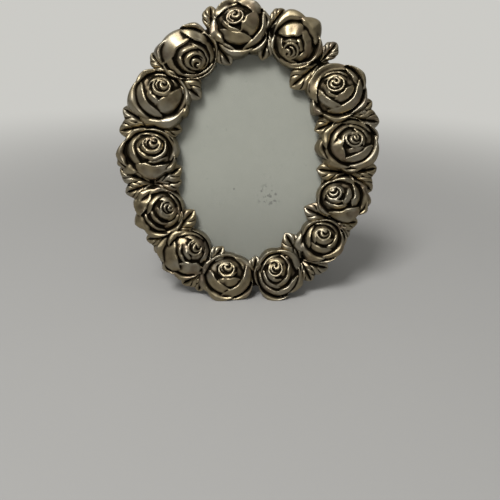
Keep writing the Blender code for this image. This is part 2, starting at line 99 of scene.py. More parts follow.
bpy.ops.object.camera_add()
camera = bpy.context.object
camera.data.sensor_width = SENSOR
camera.data.lens = LENS
camera.data.clip_start = NEAREST
look = Vector((math.sin(CAMERA_RIGHT) * math.cos(CAMERA_DOWN),
               math.cos(CAMERA_RIGHT) * math.cos(CAMERA_DOWN), -math.sin(CAMERA_DOWN)))
camera.matrix_world = (Matrix.Translation(PLANE.translation + CAMERA_FROM_PLANE)
                       @ look.to_track_quat("-Z", "Y").to_matrix().to_4x4()
                       @ Matrix.Rotation(CAMERA_ROLL, 4, "Z"))
bpy.context.scene.camera = camera
print("camera at", [round(c / MM) for c in camera.location], "mm")

# %% [markdown]
# Polished metal shows what is round it, so the studio matters as much as the material. One wide
# soft lamp hangs high in front of the frame and a little to the left, as a ceiling light does, and
# throws the soft shadows of the roses on the pane. The sky is pale above and dim at eye level,
# which is what gives the roses their dark sides.

# %% Light
LAMP_PLACE, LAMP_AIM = (-0.28, -0.45, 0.82), (0, 0, 0.05)
LAMP_SIZE, LAMP_WATTS = 0.32, 9.5
SKY = ((0.15, (0.05, 0.05, 0.048, 1)), (0.9, (0.60, 0.60, 0.58, 1)))

bpy.ops.object.light_add(type="AREA", location=LAMP_PLACE)
ceiling = bpy.context.object
ceiling.name = "ceiling_lamp"
ceiling.data.size = LAMP_SIZE
ceiling.data.energy = LAMP_WATTS
ceiling.rotation_euler = (Vector(LAMP_AIM) - Vector(LAMP_PLACE)).to_track_quat("-Z", "Y").to_euler()

world = bpy.data.worlds.new("studio")
bpy.context.scene.world = world
world.use_nodes = True
nodes, links = world.node_tree.nodes, world.node_tree.links
direction = nodes.new("ShaderNodeTexCoord")
height = nodes.new("ShaderNodeSeparateXYZ")
sky = nodes.new("ShaderNodeValToRGB")
for stop, (level, colour) in zip(sky.color_ramp.elements, SKY):
    stop.position = level
    stop.color = colour
links.new(direction.outputs["Generated"], height.inputs["Vector"])
links.new(height.outputs["Z"], sky.inputs["Fac"])
links.new(sky.outputs["Color"], nodes["Background"].inputs["Color"])
bpy.context.scene.view_settings.view_transform = "Standard"
print("lamp:", ceiling.name, ceiling.data.energy, "W")

# %% [markdown]
# The frame stands on a plain pale table top that curves up into the backdrop, so from the front no
# edge of the table shows behind it. The sheet starts as a plane, and its back edge is extruded up
# in steps.

# %% Table and backdrop
TABLE_SIZE, TABLE_MIDDLE = 3, (0, -0.6, 0)
COVE_STEPS, COVE_RADIUS = 10, 0.5
WALL_HEIGHT = 2

bpy.ops.object.select_all(action="DESELECT")
bpy.ops.mesh.primitive_plane_add(size=TABLE_SIZE, location=TABLE_MIDDLE)
table = bpy.context.object
table.name = "table"
back_edge = max(v.co.y for v in table.data.vertices)
bpy.ops.object.mode_set(mode="EDIT")
bpy.ops.mesh.select_all(action="DESELECT")
bpy.ops.object.mode_set(mode="OBJECT")
for edge in table.data.edges:
    edge.select = all(abs(table.data.vertices[i].co.y - back_edge) < 1e-6 for i in edge.vertices)
bpy.ops.object.mode_set(mode="EDIT")
bpy.ops.mesh.select_mode(type="EDGE")
for step in range(COVE_STEPS):
    angle = (step + 0.5) / COVE_STEPS * math.pi / 2
    length = COVE_RADIUS * math.pi / 2 / COVE_STEPS
    move = (0, length * math.cos(angle), length * math.sin(angle))
    bpy.ops.mesh.extrude_region_move(TRANSFORM_OT_translate={"value": move})
bpy.ops.mesh.extrude_region_move(TRANSFORM_OT_translate={"value": (0, 0, WALL_HEIGHT)})
bpy.ops.object.mode_set(mode="OBJECT")
bpy.ops.object.shade_smooth()
bpy.ops.object.transform_apply(location=True, rotation=True, scale=True)
print("table of", len(table.data.polygons), "faces")

# %% [markdown]
# Close to the frame the table takes the real light and shadow. Further off the camera, and the
# metal and glass too, see it as one even pale tone, like a wall that is lit by the whole room.
# Materials are made of nodes, and a few small helpers keep that readable: each adds one node,
# links its inputs and hands back its output.

# %% Pale finish of the table
TABLE_COLOUR, TABLE_ROUGHNESS = (0.31, 0.305, 0.295, 1), 0.6
EVEN_TONE = (0.60, 0.595, 0.565, 1)
FADE_START, FADE_END = 0.12, 0.5


def new_material(name):
    """A material with its tree, its shader and the surface's own coordinates."""
    made = bpy.data.materials.new(name)
    made.use_nodes = True
    tree = made.node_tree
    coordinates = tree.nodes.new("ShaderNodeTexCoord")
    return made, tree, tree.nodes["Principled BSDF"], coordinates.outputs["Object"]


def add_range(tree, value, start, end, low=0.0, high=1.0):
    """A Map Range node, eased, fed by a socket."""
    node = tree.nodes.new("ShaderNodeMapRange")
    node.interpolation_type = "SMOOTHSTEP"
    for socket, number in (("From Min", start), ("From Max", end), ("To Min", low), ("To Max", high)):
        node.inputs[socket].default_value = number
    tree.links.new(value, node.inputs["Value"])
    return node.outputs["Result"]


def add_math(tree, operation, one, other):
    """A Math node; each input is a socket or a number."""
    node = tree.nodes.new("ShaderNodeMath")
    node.operation = operation
    for socket, end in zip(node.inputs, (one, other)):
        if isinstance(end, (int, float)):
            socket.default_value = end
        else:
            tree.links.new(end, socket)
    return node.outputs[0]


pale, tree, shader, place = new_material("pale_table")
shader.inputs["Base Color"].default_value = TABLE_COLOUR
shader.inputs["Roughness"].default_value = TABLE_ROUGHNESS
even = tree.nodes.new("ShaderNodeEmission")
even.inputs["Color"].default_value = EVEN_TONE
far = tree.nodes.new("ShaderNodeVectorMath")
far.operation = "LENGTH"
tree.links.new(place, far.inputs[0])
fade = add_range(tree, far.outputs["Value"], FADE_START, FADE_END)
seen = tree.nodes.new("ShaderNodeLightPath")
mirrored = add_math(tree, "MAXIMUM", seen.outputs["Is Glossy Ray"], seen.outputs["Is Transmission Ray"])
any_view = add_math(tree, "MAXIMUM", seen.outputs["Is Camera Ray"], mirrored)
both = tree.nodes.new("ShaderNodeMixShader")
tree.links.new(add_math(tree, "MULTIPLY", fade, any_view), both.inputs["Fac"])
tree.links.new(shader.outputs["BSDF"], both.inputs[1])
tree.links.new(even.outputs["Emission"], both.inputs[2])
tree.links.new(both.outputs["Shader"], tree.nodes["Material Output"].inputs["Surface"])
table.data.materials.append(pale)
print("material:", pale.name)

# %% [markdown]
# ## The roses
# Each rose is a half-open bud that looks to one side, wrapped in overlapping petals with thick
# rolled lips and deep grooves between them. Sculpting would do it by hand. Here each rose gets a
# little map of its own instead: a share of 0 is the bud and 1 is the outline, and the rings in
# between slide over towards the bud, so the petals on the far side of it grow broad and smooth
# and the near ones crowd together, just as on the casting.

# %% The thirteen roses, clockwise from the top
# Place round the oval in degrees, half width and half height, and how far the bud looks right and
# up, in millimetres. Then the petals from the bud outwards: the direction each one faces, half its
# spread in degrees, and the shares of its lip and of its foot. Some have a slope as well, which lets
# the lip run out to one end so that two petals meet in a V, and some are raised by a little.
ROSE_OVAL = (40.5, 50.6)
ROSES = (
    (96, 11.3, 9.9, -2.6, 4.0,
     ((235, 54, .34, .50, .2, .2), (-22, 54, .33, .72, 0, .5), (256, 52, .47, .78),
      (228, 38, .80, .94), (-25, 56, .76, .93), (122, 44, .53, .98), (58, 38, .56, .98),
      (95, 62, .31, .48), (200, 36, .62, 1.0), (255, 48, .86, 1.06), (-50, 36, .93, 1.05),
      (15, 34, .88, 1.02))),
    (64, 9.9, 10.1, -3.5, -6.0,
     ((95, 46, .31, .40), (22, 42, .33, .44), (215, 70, .31, .60), (-60, 52, .32, .60),
      (97, 50, .43, .77), (15, 48, .47, .70), (250, 62, .63, .90), (36, 42, .64, 1.0, 0, .4),
      (110, 52, .76, 1.03), (198, 40, .72, 1.0), (-25, 42, .80, 1.0), (-80, 42, .86, 1.0))),
    (32, 11.5, 10.7, -1.9, 3.8,
     ((85, 66, .27, .43), (225, 60, .31, .45, .35), (-48, 50, .33, .58, -.3),
      (236, 52, .46, .73, .3, .3), (95, 54, .46, .58), (-42, 68, .60, .86, -.35, .4),
      (135, 82, .59, 1.0), (35, 34, .60, .82), (38, 40, .83, 1.03), (-25, 46, .88, 1.02),
      (-92, 42, .88, 1.04), (165, 32, .93, 1.05), (222, 20, .84, 1.06, 0, .3))),
    (7, 11.9, 10.6, 1.6, 3.4,
     ((150, 60, .31, .44), (-75, 44, .31, .48, 0, .3), (25, 60, .29, .44),
      (206, 46, .40, .73, .25, .3), (-60, 54, .43, .73, -.45, .3), (60, 58, .49, .66),
      (140, 46, .52, .70), (226, 46, .75, .98), (-36, 58, .68, 1.0, -.2), (75, 48, .68, .90),
      (152, 44, .71, .98), (30, 36, .84, 1.0),
      (100, 42, .92, 1.02), (-85, 38, .86, 1.0), (185, 36, .87, 1.04))),
    (-18, 10.5, 9.0, -6.0, 4.0,
     ((255, 62, .28, .42), (45, 56, .30, .40), (140, 62, .29, .58), (258, 56, .45, .60),
      (-10, 48, .39, .56, 0, .2), (5, 50, .57, .77, .45, .5), (-77, 48, .60, 1.01, -.3, .2),
      (-5, 44, .80, 1.02), (85, 40, .62, .95), (35, 36, .84, 1.0), (-30, 34, .90, 1.02),
      (150, 52, .66, .98), (205, 42, .74, .98))),
    (-41, 9.9, 9.2, 0.3, 5.0,
     ((265, 72, .28, .44), (60, 72, .28, .49), (165, 58, .30, .48), (245, 58, .50, .69),
      (170, 48, .51, .72), (-35, 52, .48, .63), (70, 54, .52, .70), (-35, 68, .70, .95),
      (235, 46, .74, .98), (185, 28, .77, 1.12), (125, 46, .72, .98), (65, 46, .74, .98),
      (-80, 48, .90, 1.0), (10, 42, .90, 1.02))),
    (-72, 10.0, 11.2, -1.9, 5.0,
     ((240, 64, .27, .44, .6), (-30, 62, .27, .42, -.6), (90, 68, .29, .50), (225, 58, .46, .62, .5),
      (-30, 62, .44, .60, -.4), (30, 52, .52, .66), (130, 52, .51, .66), (235, 68, .66, .82),
      (-50, 46, .66, .85), (50, 48, .66, 1.05), (120, 46, .68, .98), (250, 58, .86, 1.0),
      (-18, 38, .80, 1.03), (175, 38, .82, 1.0))),
    (-103, 11.5, 10.2, -0.2, 6.5,
     ((270, 74, .27, .36, 0, .2), (80, 78, .27, .50), (-82, 52, .35, .60, 0, -.1),
      (229, 62, .45, .77, .4, .6), (-36, 68, .57, .89, -.25, .6), (190, 48, .76, 1.0),
      (245, 42, .80, 1.0), (28, 46, .58, 1.0), (-48, 46, .89, 1.03), (100, 46, .62, .98),
      (140, 36, .66, .98))),
    (-130, 10.4, 10.6, 5.2, 4.2,
     ((200, 52, .30, .44), (285, 60, .28, .44), (50, 68, .28, .58), (196, 52, .46, .57, 0, .3),
      (266, 44, .50, .88), (-15, 52, .50, .75), (80, 52, .61, .80), (192, 52, .59, 1.0, 0, .2),
      (125, 38, .70, .95), (258, 46, .88, 1.03), (165, 36, .87, 1.12), (-40, 48, .78, 1.0),
      (40, 46, .82, 1.0), (215, 30, .93, 1.05))),
    (-155, 9.9, 10.1, 5.0, 2.8,
     ((235, 62, .28, .42), (60, 68, .28, .49), (-40, 52, .29, .50), (232, 60, .49, .60, 0, .3),
      (145, 48, .48, .66), (230, 48, .67, .79, 0, .4), (20, 52, .54, .75), (-50, 52, .53, .72),
      (155, 36, .64, 1.05), (206, 34, .72, 1.04), (252, 46, .83, 1.02), (90, 42, .68, .95),
      (130, 32, .79, 1.06), (-45, 48, .78, .98), (30, 46, .80, .98), (270, 46, .91, 1.0))),
    (-182.6, 11.8, 9.9, 2.3, 5.2,
     ((270, 82, .27, .38), (120, 72, .27, .41), (30, 62, .27, .41), (240, 56, .40, .50),
      (-35, 66, .44, .56), (182, 66, .52, .72, 0, .3), (70, 52, .47, .66), (290, 40, .54, .62),
      (276, 46, .58, .985, .4), (222, 22, .78, 1.05), (182, 40, .80, 1.02), (115, 44, .70, .98),
      (60, 42, .70, .95), (10, 46, .66, .95), (-40, 32, .80, .98), (200, 24, .91, 1.06),
      (35, 42, .90, 1.02))),
    (-208, 11.5, 10.8, 2.3, 5.8,
     ((268, 80, .28, .36), (308, 64, .35, .73, 0, .4), (90, 78, .28, .44), (226, 44, .37, .53),
      (212, 64, .53, .79, .3, .1), (60, 52, .49, .66), (190, 56, .74, 1.0), (245, 38, .80, 1.0),
      (-70, 46, .80, 1.06), (0, 52, .74, 1.0), (60, 42, .70, .96), (115, 42, .66, .98),
      (-30, 32, .89, 1.02))),
    (-233, 11.6, 9.9, 5.1, -4.7,
     ((150, 82, .27, .37), (0, 82, .27, .37), (260, 62, .27, .38), (120, 62, .39, .51),
      (220, 62, .40, .53), (-40, 62, .40, .52), (40, 52, .40, .52), (140, 64, .56, .94),
      (70, 36, .60, .90), (215, 48, .62, .84), (-70, 52, .60, .82), (10, 48, .58, .80),
      (72, 36, .89, 1.04), (180, 44, .85, 0.99), (235, 42, .86, 1.0), (-50, 52, .84, 1.0),
      (20, 42, .84, 1.0))),
)
ROSE_SPREAD = 1.035
BUD_TILT = math.radians(36)


def on_rose(rose, share, angle, height):
    """Points on a rose in millimetres, from share 0 at the bud to 1 at the outline."""
    share, angle, height = np.broadcast_arrays(share, angle, height)
    place, half_width, half_height, bud_x, bud_z = rose[:5]
    middle = np.array([ROSE_OVAL[0] * math.cos(math.radians(place)),
                       ROSE_OVAL[1] * math.sin(math.radians(place))])
    bud = np.array([bud_x, bud_z])
    way = bud / np.linalg.norm(bud)
    out = ROSE_SPREAD * np.stack(
        [share * half_width * np.cos(angle), share * half_height * np.sin(angle)], -1)
    tilt = BUD_TILT * np.clip(1 - share, 0, 1)
    towards = out @ way
    flat = middle + bud * (1 - share)[..., None] + out
    flat = flat - ((1 - np.cos(tilt)) * towards)[..., None] * way
    return np.stack([flat[..., 0], np.sin(tilt) * towards - height, flat[..., 1]], -1)


print(len(ROSES), "roses,", sum(len(rose[5]) for rose in ROSES), "petals")

# %% [markdown]
# A petal starts as a flat grid. Its columns run round the rose and its rows run from the lip out
# to the foot, so one formula can lay every point. One blank grid is added to the scene and copied
# for each petal, each copy with a mesh of its own.

# %% A blank grid, and how it is copied
PETAL_COLUMNS, PETAL_ROWS = 40, 26


def blank_grid(columns, rows):
    """A flat grid to copy, with each point's place across (-1 to 1) and along (0 to 1)."""
    bpy.ops.object.select_all(action="DESELECT")
    bpy.ops.mesh.primitive_grid_add(x_subdivisions=columns, y_subdivisions=rows, size=2)
    blank = bpy.context.object
    flat = np.empty(len(blank.data.vertices) * 3)
    blank.data.vertices.foreach_get("co", flat)
    flat = flat.reshape(-1, 3)
    return blank, flat[:, 0], (flat[:, 1] + 1) / 2


def shaped_copy(blank, points):
    """A copy of a blank whose points are laid in millimetres."""
    copy = blank.copy()
    copy.data = blank.data.copy()
    bpy.context.collection.objects.link(copy)
    copy.data.vertices.foreach_set("co", (points * MM).astype(np.float32).ravel())
    return copy


blank, across, along = blank_grid(PETAL_COLUMNS, PETAL_ROWS)
print("blank petal:", len(blank.data.polygons), "faces")

# %% [markdown]
# An inner petal has a lip that stands up as a bead, a face that sags gently away from it, and a
# foot that plunges into the groove beside the next petal's lip. Towards its ends the lip falls and
# runs out to the foot. The outermost petals end in round lobes, which give the rose its wavy
# outline, and the narrow ones among them are rolled over, so that they are highest in the middle.

# %% The shape of a petal
# Heights are in millimetres, and breadths are shares of the rose.
LIP_TOP, LIP_DROP = 10.7, 2.5
LIP_WIDTH, LIP_BEAD, LIP_ROUNDING = 0.065, 0.26, 0.5
GROOVE_TOP, GROOVE_DROP, GROOVE_RIM_DROP = 9.75, 1.75, 2.5
GROOVE_WIDTH, GROOVE_EXTRA = 0.07, 0.2
END_FALL, LIP_RUN_OUT = 0.85, 0.85
FACE_SAG, END_TUCK = 3.6, 1.5
RIPPLES, RIPPLE_HEIGHT, RIPPLE_SHARE = 2.2 * np.pi, 0.12, 0.008
LIP_SKEW, FOOT_SKEW = 0.02, 0.014
INNER_TILT, OUTER_TILT = 0.25, 0.45
OUTER_FOOT, ROLL_BREADTH = 0.94, 0.4
ROLL_RISE, ROLL_CREST, ROLL_DEPTH = 0.5, 0.5, 2.0
LOBE, LOBE_TAPER = 0.07, 0.23
CREASE, CREASE_WIDTH = 0.45, 0.25


def lip_height(share):
    """How high a lip stands, by its share of the rose."""
    return LIP_TOP - LIP_DROP * share


def groove_height(share):
    """How high the floor of a groove lies, by its share of the rose."""
    return GROOVE_TOP - GROOVE_DROP * share - GROOVE_RIM_DROP * share ** 4


def petal_points(rose, across, along, facing, spread, lip, foot, slope, lift, wave):
    """One petal: lip at along = 0, foot at along = 1, ends at across = -1 and 1."""
    breadth = foot - lip
    outermost = foot > OUTER_FOOT
    rolled = outermost and breadth < ROLL_BREADTH
    fall = END_FALL * np.abs(across) ** 4
    fall = fall + (1 - fall) * abs(slope) * ((1 + np.sign(slope) * across) / 2) ** 1.6
    down = along ** 1.3
    lobe = outermost * (LOBE - LOBE_TAPER * np.abs(across) ** 1.4)
    foot_share = foot + FOOT_SKEW * across + lobe
    lip_share = lip + LIP_SKEW * across + RIPPLE_SHARE * np.sin(RIPPLES * across + wave)
    lip_share = lip_share + LIP_RUN_OUT * fall * (foot_share - lip_share)
    share = lip_share + (foot_share - lip_share) * down
    tilted = (OUTER_TILT if outermost else INNER_TILT) * across
    tucked = END_TUCK * (np.abs(across) ** 9 if outermost else fall)
    crease = outermost * CREASE * np.exp(-np.abs(across) / CREASE_WIDTH) * down
    ripple = RIPPLE_HEIGHT * np.cos(RIPPLES * across + wave)
    top = lip_height(lip) + lift + tilted - tucked + crease + ripple
    plunge = np.clip((down - 1) * breadth / GROOVE_WIDTH + 1, 0, 1) ** 1.8
    height = top - FACE_SAG * breadth * down ** 1.2
    height = height + (groove_height(foot) - GROOVE_EXTRA - height) * plunge
    if rolled:
        height = height + ROLL_RISE - ROLL_DEPTH * np.clip(1 - down / ROLL_CREST, 0, 1) ** 2
    else:
        height += LIP_BEAD * np.exp(-(down * breadth / LIP_WIDTH) ** 2)
        height -= LIP_ROUNDING * np.exp(-(down * breadth / (LIP_WIDTH / 4)) ** 2)
    return on_rose(rose, share, math.radians(facing) + math.radians(spread) * across, height)


print("a lip half way out stands", round(lip_height(0.5) - groove_height(0.5), 2), "mm over its groove")

# %% [markdown]
# Every second petal lies a little higher than the one before it, so that they overlap. Hand work is
# never quite even, so each also gets a chance lift and a chance start to its ripple. The chances
# come from a fixed seed, which makes the same roses every time.

# %% All the petals
PETAL_LIFT, LIFT_CHANCE = 0.28, 0.1
SEED = 13

chance = np.random.default_rng(SEED)
petals = []
for rose in ROSES:
    for number, (facing, spread, lip, foot, *more) in enumerate(rose[5]):
        slope, raised = (*more, 0, 0)[:2]
        lift = PETAL_LIFT * (-1) ** number + raised + chance.uniform(-LIFT_CHANCE, LIFT_CHANCE)
        wave = chance.uniform(0, 2 * math.pi)
        points = petal_points(rose, across, along, facing, spread, lip, foot, slope, lift, wave)
        petals.append(shaped_copy(blank, points))
bpy.data.objects.remove(blank)
print("petals:", len(petals))

# %% [markdown]
# In the heart of each rose the last petals are rolled up tight and show only as a knob: a ring
# lip, and inside it two folds that wind round each other. A grid wound once round the bud gives
# it. Its rows run out from the middle, and a groove runs where the way out keeps step with the turn.

# %% Buds
BUD_COLUMNS, BUD_ROWS = 72, 30
BUD_SHARE, BUD_TOP, BUD_RISE, BUD_ROUNDING = 0.31, 10.1, 0.5, 1.2
BUD_ARMS, BUD_TURNS = 2, (1.7, 2.3)
BUD_GROOVE, BUD_GROOVE_DEPTH = 0.20, 1.4
RING_GROOVE, RING_GROOVE_WIDTH = 0.72, 0.075


def joined(pieces, name):
    """Joins pieces into one object."""
    bpy.ops.object.select_all(action="DESELECT")
    for piece in pieces:
        piece.select_set(True)
    bpy.context.view_layer.objects.active = pieces[0]
    if len(pieces) > 1:
        bpy.ops.object.join()
    made = bpy.context.object
    made.name = made.data.name = name
    return made


blank, across, along = blank_grid(BUD_COLUMNS, BUD_ROWS)
for rose in ROSES:
    turns = chance.uniform(*BUD_TURNS)
    phase = (turns * along - BUD_ARMS * across / 2 + chance.uniform(0, 1)) % 1
    winding = np.exp(-(np.minimum(phase, 1 - phase) / BUD_GROOVE) ** 2)
    winding *= np.clip(6 * along, 0, 1) * np.clip((RING_GROOVE - along) / 0.1, 0, 1)
    ring = np.exp(-((along - RING_GROOVE) / RING_GROOVE_WIDTH) ** 2)
    height = (BUD_TOP + BUD_RISE * along ** 2 - BUD_GROOVE_DEPTH * np.maximum(winding, ring)
              - BUD_ROUNDING * along ** 16)
    petals.append(shaped_copy(blank, on_rose(rose, BUD_SHARE * along, np.pi * across, height)))
bpy.data.objects.remove(blank)
petals = joined(petals, "petals")
print("petal and bud faces:", len(petals.data.polygons))

# %% [markdown]
# A cast petal is solid down to the band behind it. So all the faces are extruded at once and the
# new side is scaled flat, at a depth inside the band, which closes every petal into a solid.

# %% Petals made solid
PETAL_BASE = 3.4 * MM
bpy.ops.object.mode_set(mode="EDIT")
bpy.ops.mesh.select_all(action="SELECT")
bpy.ops.mesh.extrude_region_move(TRANSFORM_OT_translate={"value": (0, MM, 0)})
bpy.ops.transform.resize(value=(1, 0, 1), center_override=(0, -PETAL_BASE, 0),
                         constraint_axis=(False, True, False))
bpy.ops.mesh.select_all(action="SELECT")
bpy.ops.mesh.normals_make_consistent(inside=False)
bpy.ops.object.mode_set(mode="OBJECT")
print("solid petals:", len(petals.data.polygons), "faces")

# %% [markdown]
# Under the petals of each rose lies a dome, a sphere pulled to shape, which is the floor of the
# grooves between them. It dips in the middle, so that the folds of the bud are deep as well.

# %% Rose cores
CORE_SHARE, CORE_BASE, CORE_SINK = 0.85, 2.0, 0.1
CORE_DIP, CORE_DIP_SHARE = 1.0, 0.25

bpy.ops.object.select_all(action="DESELECT")
bpy.ops.mesh.primitive_uv_sphere_add(segments=48, ring_count=24, radius=1)
ball = bpy.context.object
round_points = np.array([v.co for v in ball.data.vertices])
angle = np.arctan2(round_points[:, 1], round_points[:, 0])
level = round_points[:, 2]
share = CORE_SHARE * np.sqrt(1 - level ** 2)
dip = CORE_DIP * np.exp(-(share / CORE_DIP_SHARE) ** 2)
height = np.where(level < 0, CORE_BASE, groove_height(share) - CORE_SINK - dip)
cores = joined([shaped_copy(ball, on_rose(rose, share, angle, height)) for rose in ROSES], "cores")
bpy.data.objects.remove(ball)
print("cores:", len(cores.data.polygons), "faces")

# %% [markdown]
# The band that carries the roses is an oval ring with a step inside for the glass and the board.
# A torus already is a closed ring, so its eight rows are moved to the eight corners of the band.

# %% Band
BAND_CORNERS = ((32.35, 45.05, 0.0), (32.35, 45.05, 4.4), (30.2, 42.9, 4.4), (30.2, 42.9, 4.9),
                (30.8, 43.5, 5.4), (42.6, 52.7, 5.4), (43.8, 53.9, 4.2), (43.8, 53.9, 0.0))
BAND_COLUMNS = 180

bpy.ops.object.select_all(action="DESELECT")
bpy.ops.mesh.primitive_torus_add(major_segments=BAND_COLUMNS, minor_segments=len(BAND_CORNERS))
band = bpy.context.object
corners = np.array(BAND_CORNERS)
turn = 2 * np.pi * np.arange(BAND_COLUMNS) / BAND_COLUMNS
points = np.stack([np.outer(np.cos(turn), corners[:, 0]),
                   np.outer(np.ones(BAND_COLUMNS), -corners[:, 2]),
                   np.outer(np.sin(turn), corners[:, 1])], -1)
band.data.vertices.foreach_set("co", (points * MM).astype(np.float32).ravel())
print("band:", len(band.data.polygons), "faces")

# %% [markdown]
# Molten metal makes one skin of all this. A voxel Remesh does the same: it keeps the outside and
# drops everything buried. A light Smooth takes off the voxel steps and rounds the lips as casting
# does.

# %% One casting
VOXEL = 0.28 * MM
SMOOTH_FACTOR, SMOOTH_ROUNDS = 0.5, 3

wreath = joined([petals, cores, band], "rose_wreath")
bpy.ops.object.mode_set(mode="EDIT")
bpy.ops.mesh.select_all(action="SELECT")
bpy.ops.mesh.normals_make_consistent(inside=False)
bpy.ops.object.mode_set(mode="OBJECT")


def one_skin(piece, voxel, rounds):
    """Fuses the active piece's overlapping solids into one skin and smooths off the voxel steps."""
    skin = piece.modifiers.new("skin", "REMESH")
    skin.mode = "VOXEL"
    skin.voxel_size = voxel
    bpy.ops.object.modifier_apply(modifier="skin")
    soften = piece.modifiers.new("soften", "SMOOTH")
    soften.factor = SMOOTH_FACTOR
    soften.iterations = rounds
    bpy.ops.object.modifier_apply(modifier="soften")
    print("skin of", piece.name, len(piece.data.polygons), "faces")


one_skin(wreath, VOXEL, SMOOTH_ROUNDS)

# %% [markdown]
# The patina will need to know where the hollows are. A point in a groove lies below a smoothed copy
# of the surface and a point on a lip lies above it, so that distance is measured on this fine mesh
# and kept as an attribute. Many rounds of smoothing find whole grooves, and a few find sharp edges.

# %% Hollows and edges
HOLLOW_ROUNDS, EDGE_ROUNDS = 40, 6


def mark_hollows(piece, name, rounds, gain=1.0):
    """Keeps, for each point, how far it lies below a smoothed copy of the surface, in millimetres."""
    mesh = piece.data
    count = len(mesh.vertices)
    place, normal = np.empty(count * 3), np.empty(count * 3)
    mesh.vertices.foreach_get("co", place)
    mesh.vertices.foreach_get("normal", normal)
    place, normal = place.reshape(-1, 3), normal.reshape(-1, 3)
    ends = np.empty(len(mesh.edges) * 2, dtype=np.int64)
    mesh.edges.foreach_get("vertices", ends)
    one, other = ends.reshape(-1, 2).T
    neighbours = np.bincount(ends, minlength=count)
    smooth = place.copy()
    for _ in range(rounds):
        for axis in range(3):
            total = (np.bincount(one, smooth[other, axis], count)
                     + np.bincount(other, smooth[one, axis], count))
            smooth[:, axis] = (smooth[:, axis] + total / neighbours) / 2
    hollow = gain * ((smooth - place) * normal).sum(1) / MM
    kept = mesh.attributes.new(name, "FLOAT", "POINT")
    kept.data.foreach_set("value", hollow.astype(np.float32))
    print(name, "of", piece.name, np.percentile(hollow, (2, 50, 98)).round(2))


mark_hollows(wreath, "hollow", HOLLOW_ROUNDS)
mark_hollows(wreath, "edge", EDGE_ROUNDS)

# %% [markdown]
# Only now does Decimate bring the triangles down. Below the lowest two roses the real casting is
# filed flat, so that the frame stands without rocking. A bisect at table height does that once the
# wreath leans in its place.

# %% Thin the mesh, lean it back and file the feet
CASTING_TRIANGLES = 190000


def thin(piece, triangles):
    """Brings the active piece down to a number of triangles."""
    fewer = piece.modifiers.new("fewer", "DECIMATE")
    fewer.ratio = triangles / sum(len(face.vertices) - 2 for face in piece.data.polygons)
    bpy.ops.object.modifier_apply(modifier="fewer")


thin(wreath, CASTING_TRIANGLES)
in_place(wreath)
bpy.ops.object.mode_set(mode="EDIT")
bpy.ops.mesh.select_all(action="SELECT")
bpy.ops.mesh.bisect(plane_co=(0, 0, 0), plane_no=(0, 0, 1), threshold=1e-7,
                    use_fill=True, clear_inner=True)
bpy.ops.mesh.select_all(action="SELECT")
bpy.ops.mesh.quads_convert_to_tris()
bpy.ops.object.mode_set(mode="OBJECT")
bpy.ops.object.shade_smooth()
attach(wreath, "frame")
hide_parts("rose_wreath_casting")
print("rose wreath:", len(wreath.data.polygons), "triangles")

# %% [markdown]
# ## The leaves
# Small toothed leaves fill the gaps between the roses, up to two in each gap outside and inside.
# Where each one grows and which way it points is a plain list, as a maker would sketch it.

# %% Where the leaves grow
# The gap that each grows from (1 lies after the first rose), turn from straight outwards in
# degrees, and reach from the middle of the band in millimetres.
OUTER_LEAVES = (
    (13, -23, 10.9), (1, -27, 9.5), (2, 7, 10.2), (3, 16, 12.7), (3, -22, 14.4),
    (4, 13, 12.5), (4, -31, 13.2), (5, 21, 10.8), (5, -22, 10.2), (6, 34, 12.5),
    (6, -12, 10.6), (8, -22, 13.0), (8, 14, 11.5), (9, -18, 11.4), (9, 17, 11.2),
    (10, -34, 14.4), (10, 11, 12.0), (11, -17, 13.1), (11, 23, 13.6), (12, -10, 11.0),
)
INNER_LEAVES = (
    (13, -172, 12.9), (1, 180, 11.8), (2, 178, 14.7), (3, -173, 13.2), (4, 179, 13.0),
    (5, 180, 13.6), (6, 171, 13.9), (6, -160, 11.0), (7, 169, 10.5), (8, 173, 11.7),
    (9, -165, 13.9), (10, -160, 14.0), (10, 175, 12.2), (11, -176, 12.2), (12, -162, 12.2),
    (12, 176, 14.6),
)
print("leaves:", len(OUTER_LEAVES), "outside,", len(INNER_LEAVES), "inside")

# %% [markdown]
# Each leaf is a grid again, narrowed almost to a point at both ends, with a saw edge, a groove down
# the middle rib and puffed lobes between slanting side veins.

# %% The shape of a leaf
LEAF_COLUMNS, LEAF_ROWS = 30, 56
LEAF_HEIGHTS = ((0.0, 4.6), (0.35, 5.9), (0.6, 6.4), (1.0, 5.9))
OUTER_TIP_DROP, INNER_TIP_DROP = 1.2, 0.2
LEAF_WIDTH, LEAF_TIP = 0.31, 0.15
LEAF_VEINS, VEIN_SLANT, VEIN_START = 3.6, 0.36, 0.15
LOBE_PUFF, SAW_EDGE = 0.9, 0.13
RIB_DEPTH, RIB_WIDTH = 0.5, 0.11


